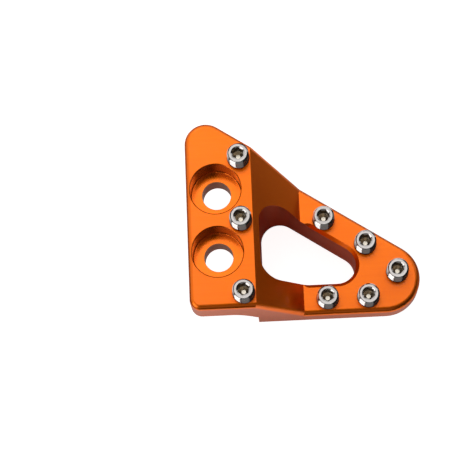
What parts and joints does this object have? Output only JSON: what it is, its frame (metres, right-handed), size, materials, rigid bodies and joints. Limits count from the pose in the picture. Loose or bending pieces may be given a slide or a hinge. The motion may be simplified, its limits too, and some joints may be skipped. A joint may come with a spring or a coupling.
{
  "type": "brake pedal pad",
  "caption": "Machined brake pedal step plate with a raised bolt-on shelf, a slope down to a tapered toe, a window and screw-in grip studs.",
  "frame": {"origin": "midway between the two mounting holes, on the flat seat under the shelf", "axes": "+X towards the low toe end, +Y towards the slanted far side, +Z out of the tread"},
  "size_m": [0.0524, 0.0434, 0.028],
  "materials": {
    "anodised_plate": "satin orange anodised, machined",
    "stud_steel": "bright stainless steel"
  },
  "bodies": {
    "root": {"pedal_plate": "anodised_plate", "shelf_stud_1": "stud_steel", "shelf_stud_2": "stud_steel", "shelf_stud_3": "stud_steel", "toe_stud_1": "stud_steel", "toe_stud_2": "stud_steel", "toe_stud_3": "stud_steel", "toe_stud_4": "stud_steel", "toe_stud_5": "stud_steel"}
  },
  "joints": []
}
